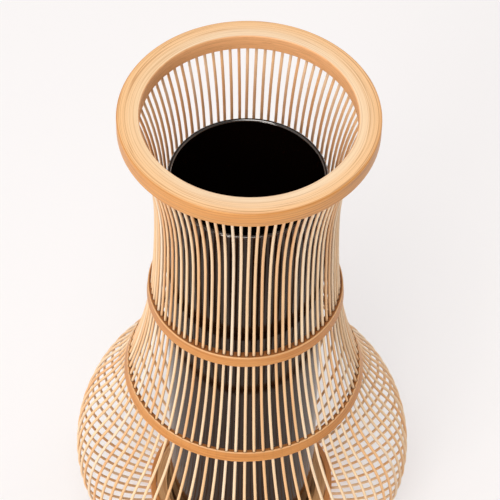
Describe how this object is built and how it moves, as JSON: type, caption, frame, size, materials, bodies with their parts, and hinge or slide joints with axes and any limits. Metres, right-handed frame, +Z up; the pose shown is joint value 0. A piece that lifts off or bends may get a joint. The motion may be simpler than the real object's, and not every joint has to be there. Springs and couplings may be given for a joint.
{
  "type": "splint bamboo flower vase",
  "caption": "Round-bellied flower vase: an open cage of bent bamboo splints drilled through hoops, under a thick bamboo mouth ring, round a lift-out black water tube.",
  "frame": {"origin": "middle of the foot, on the surface the vase stands on", "axes": "+Z up along the vase's axis, -Y towards the front"},
  "size_m": [0.201, 0.201, 0.337],
  "materials": {
    "mouth_bamboo": "satin",
    "hoop_bamboo": "satin",
    "splint_bamboo": "satin",
    "base_wood": "satin",
    "black_tube": "gloss"
  },
  "bodies": {
    "cage": {"mouth_ring": "mouth_bamboo", "neck_hoop": "hoop_bamboo", "shoulder_hoop": "hoop_bamboo", "base_hoop": "hoop_bamboo", "base_collar": "base_wood", "bottom_board": "base_wood", "splints_01": "splint_bamboo", "splints_02": "splint_bamboo", "splints_03": "splint_bamboo", "splints_04": "splint_bamboo", "splints_05": "splint_bamboo", "splints_06": "splint_bamboo", "splints_07": "splint_bamboo", "splints_08": "splint_bamboo", "splints_09": "splint_bamboo", "splints_10": "splint_bamboo", "splints_11": "splint_bamboo", "splints_12": "splint_bamboo", "splints_13": "splint_bamboo", "splints_14": "splint_bamboo", "splints_15": "splint_bamboo", "splints_16": "splint_bamboo"},
    "tube": {"water_tube": "black_tube"}
  },
  "joints": [
    {"name": "tube_lift", "type": "slide", "parent": "cage", "child": "tube", "axis": [0, 0, 1], "range_m": [0, 0.35]}
  ]
}
